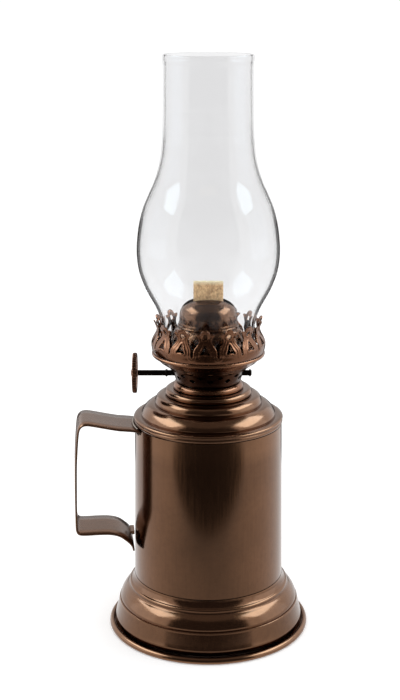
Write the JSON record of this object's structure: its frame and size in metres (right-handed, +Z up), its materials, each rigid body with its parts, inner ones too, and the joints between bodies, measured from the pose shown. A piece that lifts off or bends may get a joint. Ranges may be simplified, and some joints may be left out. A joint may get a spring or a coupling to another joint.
{
  "type": "oil lamp",
  "caption": "Small oil lamp: copper drum tank on a stepped round foot, strap handle, flat-wick burner with a side thumb wheel, crown of prongs and a bulbous glass chimney.",
  "frame": {"origin": "centre of the foot's underside, on the lamp's axis", "axes": "+Z up along the lamp's axis, the handle towards -X, the thumb wheel's shaft along X"},
  "size_m": [0.1208, 0.1026, 0.294],
  "materials": {
    "copper": "aged, dark copper bronze, softly polished",
    "brass": "dull old brass",
    "steel": "blackened",
    "solder": "dull grey solder",
    "cotton": "coarse woven cotton",
    "glass": "clear, blown"
  },
  "bodies": {
    "lamp_body": {"base_pan": "copper", "base_skirt": "copper", "tank_floor": "copper", "tank_wall": "copper", "tank_shoulder": "copper", "collar": "copper", "handle_strap": "copper", "handle_solder_top": "solder", "handle_solder_under": "solder", "handle_solder_bottom": "solder"},
    "burner": {"burner_ferrule": "brass", "burner_floor": "brass", "burner_basket": "copper", "gallery_plate": "copper", "gallery_crown": "copper", "flame_dome": "copper", "wick_tube": "brass", "vent_tube": "brass", "spur_box": "brass", "shaft_bush_left": "brass", "shaft_bush_right": "brass"},
    "wick_drive": {"wick_shaft": "steel", "spur_wheel_1": "brass", "spur_wheel_2": "brass", "thumb_wheel": "copper", "thumb_rivet": "copper"},
    "wick": {"wick": "cotton"},
    "chimney": {"chimney": "glass"}
  },
  "joints": [
    {"name": "burner_lift", "type": "slide", "parent": "lamp_body", "child": "burner", "axis": [0, 0, 1], "range_m": [0, 0.095]},
    {"name": "chimney_lift", "type": "slide", "parent": "burner", "child": "chimney", "axis": [0, 0, 1], "range_m": [0, 0.06]},
    {"name": "shaft_turn", "type": "hinge", "parent": "burner", "child": "wick_drive", "pos_m": [0, -0.0052, 0.1341], "axis": [1, 0, 0], "range_deg": [-220, 95]},
    {"name": "wick_slide", "type": "slide", "parent": "burner", "child": "wick", "axis": [0, 0, 1], "range_m": [-0.0141, 0.0062]}
  ],
  "couplings": [
    {"joint": "wick_slide", "follows": "shaft_turn", "m_per_rad": 0.0036}
  ]
}
